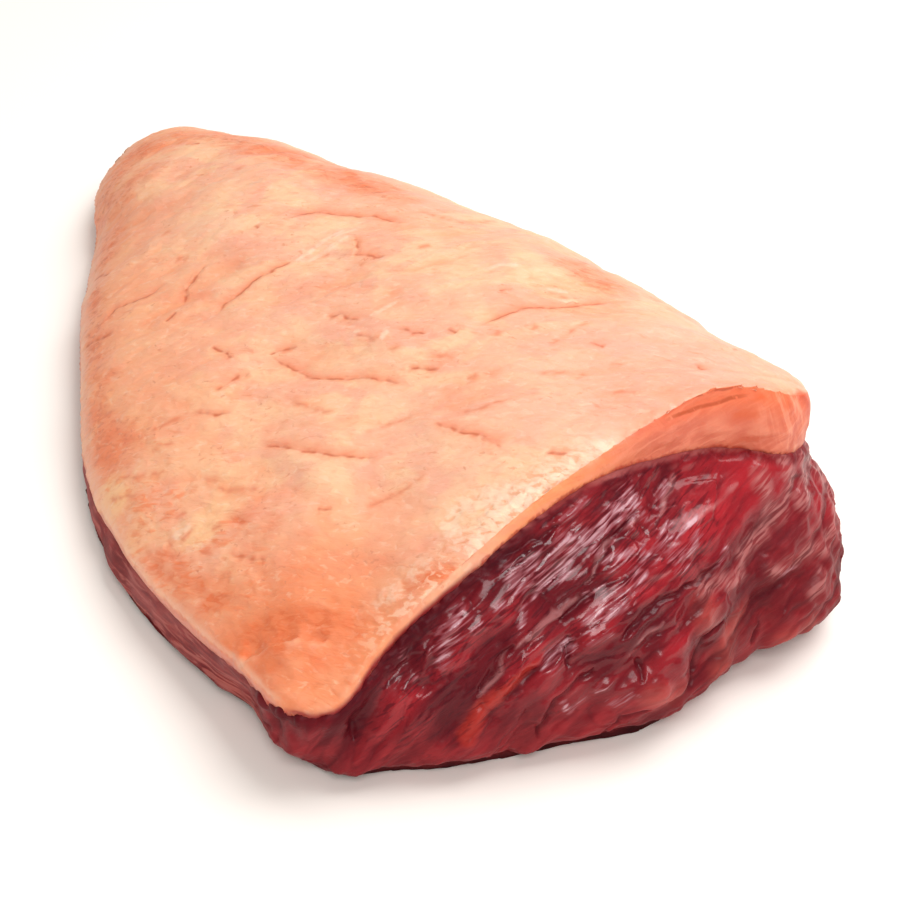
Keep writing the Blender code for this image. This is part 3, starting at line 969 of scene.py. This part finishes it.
# %% A web of nodes that is being written
class Web:
    def __init__(self, tree):
        self.tree = tree

    def fill(self, socket, value):
        if isinstance(value, Wire):
            self.tree.links.new(value.socket, socket)
        else:
            socket.default_value = value

    def node(self, kind, settings, values):
        made = self.tree.nodes.new("ShaderNode" + kind)
        for name, value in settings.items():
            setattr(made, name, value)
        for name, value in values.items():
            self.fill(made.inputs[name], value)
        return made

    def out(self, kind, settings, values, name=0):
        return Wire(self, self.node(kind, settings, values).outputs[name])


# %% A material, with the colour that it has so far
class Finish(Web):
    def __init__(self, name):
        self.material = bpy.data.materials.new(name)
        self.material.use_nodes = True
        super().__init__(self.material.node_tree)
        self.colour = None

    def read(self, name):
        return self.out("Attribute", {"attribute_name": name}, {}, "Fac")

    def place(self):
        return self.out("TexCoord", {}, {}, "Object")

    def noise(self, sizes, ways, detail=2.0, turbulent=0.0):
        """Noise with a size in mm along each of three ways."""
        parts = []
        for way, size in zip(ways, sizes):
            scaled = tuple(float(v) / size / MM for v in way)
            values = {0: self.place(), 1: scaled}
            parts.append(self.out("VectorMath", {"operation": "DOT_PRODUCT"}, values, "Value"))
        where = self.out("CombineXYZ", {}, dict(zip("XYZ", parts)))
        values = {"Vector": where, "Scale": 1.0, "Detail": detail, "Distortion": turbulent}
        return self.out("TexNoise", {}, values)

    def bump(self, height, tall, strength=0.8):
        values = {"Height": height, "Distance": tall * MM, "Strength": strength}
        return self.out("Bump", {}, values)

    def blend(self, share, first, second):
        made = self.node("Mix", {"data_type": "RGBA", "clamp_factor": True}, {"Factor": share})
        colours = [s for s in made.inputs if s.type == "RGBA"]
        for socket, value in zip(colours, (first, second)):
            self.fill(socket, value if isinstance(value, Wire) else (*value, 1))
        return Wire(self, next(s for s in made.outputs if s.type == "RGBA"))

    def lay(self, share, colour):
        self.colour = self.blend(share, self.colour, colour)

    def lay_where_painted(self, *layers):
        for name, strength, colour in layers:
            self.lay(self.read(name) * strength, colour)

    def finish(self, piece, **values):
        surface = self.tree.nodes["Principled BSDF"]
        for name, value in {"Base_Color": self.colour, **values}.items():
            self.fill(surface.inputs[name.replace("_", " ")], value)
        piece.data.materials.append(self.material)
        print(piece.name, "has a finish of", len(self.tree.nodes), "nodes")


# %% [markdown]
# ## Wet muscle
# Fresh beef is a clear, deep crimson, and every crevice is painted a darker wine as shade.
# Meat juice lies over it as a thin clear coat, which gives small broken mauve highlights. Where
# the juice lies thickest, highlights are also painted on in pale mauve, with painted shade
# between them, because a studio has more lamps than are lit here. The lower, older surface has
# dried and is more brown and matte, and the flanks show pale threads of membrane. Thin sheets of
# silver skin cling in places. The foot is painted dark as contact shadow.

# %% Wet muscle: its own reds
wet = Finish("wet_muscle")
FIBRE_WAYS = (ALONG, ACROSS, FACING)
fine = wet.noise((5, 0.9, 2), FIBRE_WAYS, 3, 0.6)
threads = wet.noise((6, 0.75, 2.5), FIBRE_WAYS, 1, 0.4)
blotch = wet.noise((14, 6, 6), FIBRE_WAYS, 2)
side_on = 1 - wet.read("cut")
lightness = wet.read("tone") * 0.75 + blotch.step(0.35, 0.65) * 0.25
wet.colour = wet.blend(lightness, (0.11, 0.005, 0.01), (0.38, 0.015, 0.023))
wet.lay(side_on * 0.75, (0.175, 0.017, 0.016))
wet.lay(wet.read("matte") * 0.4, (0.22, 0.018, 0.02))
wet.lay(fine.step(0.45, 0.75) * 0.25, (0.46, 0.04, 0.045))
# Lumps in their own brownish red, and crevices darkened to wine as painted shade
wet.lay_where_painted(
    ("lump", 0.5, (0.5, 0.09, 0.07)),
    ("deep", 0.75, (0.075, 0.004, 0.009)),
)

# %% The membrane on the flanks
FLANK_WAYS = (np.array([1, 0, 0.12]), np.array([0, 1, 0]), np.array([-0.12, 0.05, 1]))
film = wet.noise((22, 17, 3.2), FLANK_WAYS, 3, 0.7)
wet.lay(side_on * film.step(0.46, 0.66) * 0.45, (0.42, 0.09, 0.07))
wet.lay(side_on * (1 - film.step(0.32, 0.48)) * 0.5, (0.07, 0.005, 0.007))
film_threads = wet.noise((12, 15, 1.3), FLANK_WAYS, 3, 1.0)
thin_flank = wet.read("thin_flank")
wet.lay(thin_flank * film_threads.step(0.5, 0.64) * 0.5, (0.55, 0.17, 0.14))
wet.lay(thin_flank * (1 - film_threads.step(0.36, 0.47)) * 0.6, (0.09, 0.006, 0.012))

# %% Painted shade in the seam under the fat, silver skin and sinew
wet.lay(wet.read("seam") * wet.read("cut") * (0.2 + fine * 0.6), (0.075, 0.004, 0.008))
clinging = wet.read("silver") * (0.7 + wet.read("cut") * (threads.step(0.4, 0.62) - 0.45))
wet.lay(clinging * 0.55, (0.5, 0.18, 0.17))
wet.lay(wet.read("pale_line") * 0.5, (0.5, 0.2, 0.2))
wet.lay((wet.read("sinew") + fine * 0.5).step(0.4, 1.3) * 0.8, (0.42, 0.03, 0.02))

# %% Painted highlights in the juice, painted shade between them, and painted shade at the foot
shine = wet.read("juice").step(0.05, 0.4)
lit = wet.read("juice") * 0.3 + threads
# Painted highlights, mauve and paler mauve
wet.lay(lit.step(0.62, 0.82) * shine * 0.65, (0.34, 0.1, 0.12))
wet.lay(lit.step(0.78, 0.96) * shine * 0.7, (0.62, 0.35, 0.39))
# Painted shade: dark thin gaps between the threads where the knife left the most facets
wet.lay((1 - threads.step(0.34, 0.46)) * wet.read("busy") * 0.6, (0.06, 0.003, 0.008))
# Painted contact shadow along the foot
wet.lay(wet.read("foot") * 0.85, (0.02, 0.002, 0.003))

# %% How wet it is
dry = wet.read("matte") * 0.6 + side_on * 0.3
coat = (1 - 1.3 * dry) * (0.55 + 0.45 * wet.read("juice"))
coat = coat * (1 - wet.read("seam")) * (1 - 0.6 * wet.read("deep"))
wet.finish(
    flesh,
    Roughness=0.36 + 0.25 * dry + 0.12 * fine,
    Coat_Weight=coat,
    Specular_IOR_Level=0.1,
    Coat_Roughness=0.17,
    Subsurface_Weight=0.12,
    Subsurface_Scale=0.002,
    Subsurface_Radius=(1, 0.2, 0.15),
    Normal=wet.bump(fine, 0.25),
)

# %% [markdown]
# ## Soft fat
# Beef fat is a pale peach that turns cream where it's thick and orange where it has dried
# thin over the flesh. Creases hold a little blood, so they are red-brown with a soft red
# halo, painted stronger on one side as shade. Hollows are painted a deeper orange as shade and
# crests paler as lit, and a few pale glints are painted on. Its skin is only faintly greasy. On
# the knife side the layers lie open: more orange, striped by the blade, and nearly red where they
# meet the meat, with a line of painted shade in the seam at the far end. Light goes a few
# millimetres into fat, so it also has some subsurface scattering.

# %% Soft fat: clouds of cream, pink and orange
soft_fat = Finish("soft_fat")
FAT_WAYS = (np.array([0.78, 0.62, 0]), np.array([0.62, -0.78, 0]), np.array([0, 0, 1.0]))
clouds = soft_fat.noise((26, 17, 20), FAT_WAYS, 3, 0.6)
pinks = soft_fat.noise((17, 11, 14), FAT_WAYS, 4, 0.6)
soft_fat.colour = soft_fat.blend(clouds.step(0.4, 0.6), (0.87, 0.46, 0.3), (0.9, 0.54, 0.33))
soft_fat.lay(pinks.step(0.46, 0.64) * 0.7, (0.87, 0.4, 0.28))
soft_fat.lay_where_painted(
    ("edge", 0.55, (0.92, 0.35, 0.17)),
    ("yellow", 0.7, (0.95, 0.55, 0.27)),
    ("corner", 0.85, (0.84, 0.235, 0.09)),
    ("orange_rim", 0.7, (0.85, 0.3, 0.15)),
)

# %% Where it is rubbed thin
specks = soft_fat.noise((2.1, 1.3, 1.6), FAT_WAYS, 2, 0.6)
dashes = soft_fat.noise((4.5, 1.7, 3), FAT_WAYS, 2, 0.8)
rubbed = soft_fat.read("worn")
soft_fat.lay(rubbed * (0.6 + pinks.step(0.4, 0.6) * 0.4), (0.86, 0.25, 0.12))
soft_fat.lay(rubbed * dashes.step(0.5, 0.63) * 0.65, (0.7, 0.17, 0.07))
soft_fat.lay(rubbed * specks.step(0.57, 0.67) * 0.6, (0.6, 0.13, 0.055))
soft_fat.lay(soft_fat.read("blush") * 0.75, (0.85, 0.41, 0.305))

# %% Painted shade in the hollows, painted light on the crests, and a fine grain all over
skin = soft_fat.noise((3.2, 1.6, 2), FAT_WAYS, 3, 0.5)
low_spot = soft_fat.read("low_spot")
soft_fat.lay(low_spot.step(0.5, 1.0) * 0.45, (0.88, 0.27, 0.125))
soft_fat.lay((1 - low_spot.step(0.0, 0.45)) * 0.2, (0.93, 0.62, 0.44))
soft_fat.lay(skin.step(0.5, 0.66) * 0.22, (0.84, 0.32, 0.18))
soft_fat.lay((1 - skin.step(0.32, 0.42)) * 0.24, (0.95, 0.66, 0.48))

# %% Freckles, dashes and small red waves, in flocks
flocks = soft_fat.noise((16, 11, 12), FAT_WAYS, 1)
wavelets = soft_fat.noise((8, 2.2, 4), FAT_WAYS, 4, 1.2)
rougher = soft_fat.read("rough")
freckles = specks.step(0.62, 0.74) * flocks.step(0.4, 0.62)
soft_fat.lay(freckles * (0.55 + 0.35 * rougher), (0.66, 0.19, 0.09))
soft_fat.lay(dashes.step(0.6, 0.76) * pinks.step(0.42, 0.56) * 0.5, (0.74, 0.25, 0.13))
reddened = wavelets.step(0.48, 0.68) * flocks.step(0.4, 0.6) * (0.25 + rougher)
soft_fat.lay(reddened * 0.65, (0.88, 0.25, 0.1))

# %% Halos with painted shade on one side of each crease, pits, orange spots with painted shade above the fold, and cream spots with painted glints
# Halos, stronger on one side of each crease as painted shade
soft_fat.lay_where_painted(
    ("halo", 0.6, (0.86, 0.28, 0.16)),
    ("pits", 0.5, (0.74, 0.2, 0.075)),
)
# Orange spots, and painted shade in the hollow above the fold
torn = soft_fat.read("orange") * (0.6 + dashes.step(0.45, 0.6) * 0.4)
soft_fat.lay(torn * 0.9, (0.76, 0.17, 0.06))
soft_fat.lay(soft_fat.read("rim") * 0.5, (0.9, 0.58, 0.43))
# Cream crumbs and painted glints
creamy = (soft_fat.read("cream") + specks * 0.9).step(0.5, 1.25)
soft_fat.lay(creamy * 0.5, (0.93, 0.68, 0.51))

# %% Crumbs on the rim with painted shade between them, the folded corner's lit edge, and the thin edges
grit = soft_fat.noise((2.6, 1.5, 1.8), FAT_WAYS, 4, 0.5)
rim_crumbs = soft_fat.read("rim_crumbs")
soft_fat.lay(rim_crumbs * grit.step(0.5, 0.6) * 0.55, (0.94, 0.66, 0.47))
# Brown in the hollows of the grit, as painted shade
soft_fat.lay(rim_crumbs * (1 - grit.step(0.38, 0.46)) * 0.6, (0.76, 0.27, 0.12))
# Painted light along the lifted edge of the fold
soft_fat.lay(soft_fat.read("fold_edge") * 0.42, (0.93, 0.52, 0.34))
# Painted shade in the gaps between crumbs
soft_fat.lay(soft_fat.read("crumb_edge") * skin.step(0.35, 0.6) * 0.5, (0.74, 0.3, 0.15))
soft_fat.lay_where_painted(
    ("thin_edge", 0.6, (0.92, 0.52, 0.36)),
    ("lip", 0.85, (0.72, 0.27, 0.2)),
)

# %% The knife side has a colour of its own, which is built up apart and laid on last
whole_top = soft_fat.colour
SIDE_WAYS = (np.array([0, 0.97, 0.24]), np.array([0, -0.24, 0.97]), np.array([1.0, 0, 0]))
sliced = soft_fat.noise((11, 1.8, 6), SIDE_WAYS, 3, 0.8)
stripes = soft_fat.noise((2.4, 13, 6), SIDE_WAYS, 2, 1.2)
thick_side = soft_fat.read("thick_side")
far_side = soft_fat.read("far_side")
layer = soft_fat.read("layer")
soft_fat.colour = soft_fat.blend(thick_side, (0.9, 0.3, 0.125), (0.68, 0.155, 0.085))
soft_fat.lay(sliced.step(0.48, 0.66) * 0.45, (0.87, 0.29, 0.17))
soft_fat.lay((1 - sliced.step(0.32, 0.46)) * 0.35, (0.62, 0.11, 0.06))
soft_fat.lay(soft_fat.read("ribs").step(0.4, 1.1) * 0.35, (0.9, 0.34, 0.2))
soft_fat.lay(layer.step(6, 15) * thick_side * 0.5, (0.86, 0.17, 0.05))
soft_fat.lay(far_side * stripes.step(0.5, 0.66) * 0.4, (0.92, 0.4, 0.25))
soft_fat.lay(far_side * (1 - stripes.step(0.34, 0.46)) * 0.45, (0.6, 0.1, 0.045))
soft_fat.colour = soft_fat.blend(soft_fat.read("side"), whole_top, soft_fat.colour)
soft_fat.lay_where_painted(
    ("end_line", 0.75, (0.6, 0.085, 0.035)),
    ("raw_marks", 0.7, (0.72, 0.12, 0.035)),
)

# %% The groove below the rim, the red line where fat meets meat, and painted shade in the seam at the far end
off_groove = abs(soft_fat.read("from_rim") + pinks * 2 - 2.6)
groove = (1 - off_groove.step(0.15, 0.6)) * soft_fat.read("grooved") * dashes.step(0.36, 0.5)
soft_fat.lay(groove * 0.8, (0.46, 0.07, 0.02))
soft_fat.lay((1 - (layer + dashes * 2.4).step(1.7, 2.8)) * 0.85, (0.5, 0.055, 0.03))
# Painted shade: a near-black line in the seam where the far side meets the meat
soft_fat.lay((1 - (layer + dashes * 2.0).step(1.5, 2.2)) * far_side, (0.06, 0.004, 0.005))
soft_fat.lay((1 - layer.step(1.0, 2.6)) * soft_fat.read("stained"), (0.3, 0.02, 0.02))

# %% Creases: a wide, soft, red line with a fine dark one in it
for reach, painted, strength, colour in (
    ((0.1, 1.9), "crease", 0.55, (0.8, 0.23, 0.11)),
    ((0.05, 0.65), "dark_crease", 0.62, (0.52, 0.1, 0.035)),
):
    line = 1 - abs(soft_fat.read("gap")).step(*reach)
    soft_fat.lay(line * soft_fat.read(painted) * strength, colour)

# %% How greasy it is
soft_fat.finish(
    fat,
    Roughness=0.5 - 0.1 * skin,
    Specular_IOR_Level=0.35,
    Subsurface_Weight=0.25,
    Subsurface_Scale=0.0025,
    Subsurface_Radius=(1, 0.4, 0.22),
    Normal=soft_fat.bump(skin + wavelets * (0.4 + rougher) + grit * rim_crumbs, 0.32, 0.85),
)

# %% Give both pieces their places in the frame
for piece, node, slot in ((flesh, "meat", "meat"), (fat, "fat_cap", "fat")):
    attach(piece, "root")
    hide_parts(node)
    print(piece.name, count_of(piece), "triangles")

# %% [markdown]
# ## Studio
# A white floor, one large soft light overhead and a little behind, and a smaller one above
# the camera to wake the highlights on the wet cut. In a real studio a lamp behind the paper
# bleaches it away from the food, so here the floor glows from about 25 cm beyond the
# meat. A white room would fill every shadow and grey every highlight, so the lens sees a
# white room, mirrors see a dark one, and all other light comes from a dim one.

# %% Floor
bpy.ops.mesh.primitive_plane_add(size=6)
floor = bpy.context.active_object
floor.name = "floor"
paper = Finish("white_paper")
way_off = paper.out("VectorMath", {"operation": "LENGTH"}, {0: paper.place()}, "Value")
glow = paper.blend(way_off.step(0.4, 1.1), (0, 0, 0), (0.55, 0.6, 0.65))
paper.colour = (0.97, 0.905, 0.85, 1)
paper.finish(floor, Roughness=0.8, Emission_Color=glow, Emission_Strength=1)


# %% Lights
def softbox(name, place, aim, width, power):
    lamp = bpy.data.lights.new(name, "AREA")
    lamp.shape = "SQUARE"
    lamp.size = width
    lamp.energy = power
    box = bpy.data.objects.new(name, lamp)
    box.location = place
    box.rotation_euler = (Vector(aim) - Vector(place)).to_track_quat("-Z", "Y").to_euler()
    bpy.context.scene.collection.objects.link(box)
    print(name, "is", width, "m wide and gives", power, "W")


softbox("overhead", (0.0, 0.5, 0.9), (0.02, 0, 0), 0.8, 9.9)
softbox("front_top", (0.75, -0.25, 0.75), (0.1, 0, 0.03), 0.42, 4.6)

# %% World: the lens sees white, mirrors see dark, everything else sees a dim room
world = bpy.data.worlds.new("studio")
bpy.context.scene.world = world
world.use_nodes = True
air = Web(world.node_tree)
GREY = (0.8, 0.8, 0.8, 1)


def room(colour, strength):
    return air.out("Background", {}, {"Color": colour, "Strength": strength})


def choose(ray, first, second):
    chance = air.out("LightPath", {}, {}, ray)
    return air.out("MixShader", {}, {"Fac": chance, 1: first, 2: second})


unseen = choose("Is Glossy Ray", room((1, 0.98, 0.93, 1), 0.43), room(GREY, 0.1))
seen = choose("Is Camera Ray", unseen, room(GREY, 1.1))
air.fill(world.node_tree.nodes["World Output"].inputs["Surface"], seen)
bpy.context.scene.view_settings.view_transform = "Standard"
print("world has", len(world.node_tree.nodes), "nodes")
